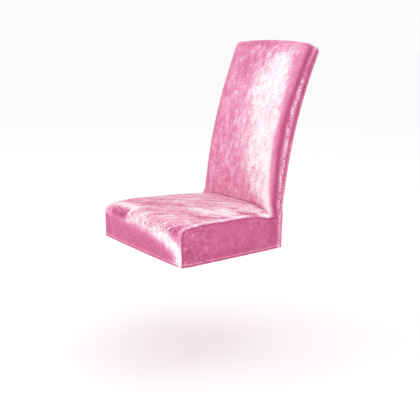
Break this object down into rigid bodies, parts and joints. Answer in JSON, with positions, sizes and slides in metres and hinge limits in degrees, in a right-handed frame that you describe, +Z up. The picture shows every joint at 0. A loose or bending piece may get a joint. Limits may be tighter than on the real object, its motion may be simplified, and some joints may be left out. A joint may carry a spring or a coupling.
{
  "type": "fitted chair cover",
  "caption": "Stretch velvet cover for a high-backed dining chair, pink, sewn from panels, with a curved back and a rolled front edge.",
  "frame": {"origin": "under the cover's top, in the middle, where the inside of the cloth rests on the chair's back", "axes": "+Z up, -Y the way the chair faces, +X the side that the picture shows; the floor under the chair is 1.018 m below the origin"},
  "size_m": [0.4718, 0.6002, 0.6758],
  "materials": {
    "velvet": "crushed stretch velvet with a strong white sheen, mid pink"
  },
  "bodies": {
    "root": {"back_front": "velvet", "back_rear": "velvet", "seat_top": "velvet", "seat_side_left": "velvet", "seat_side_right": "velvet"}
  },
  "joints": []
}
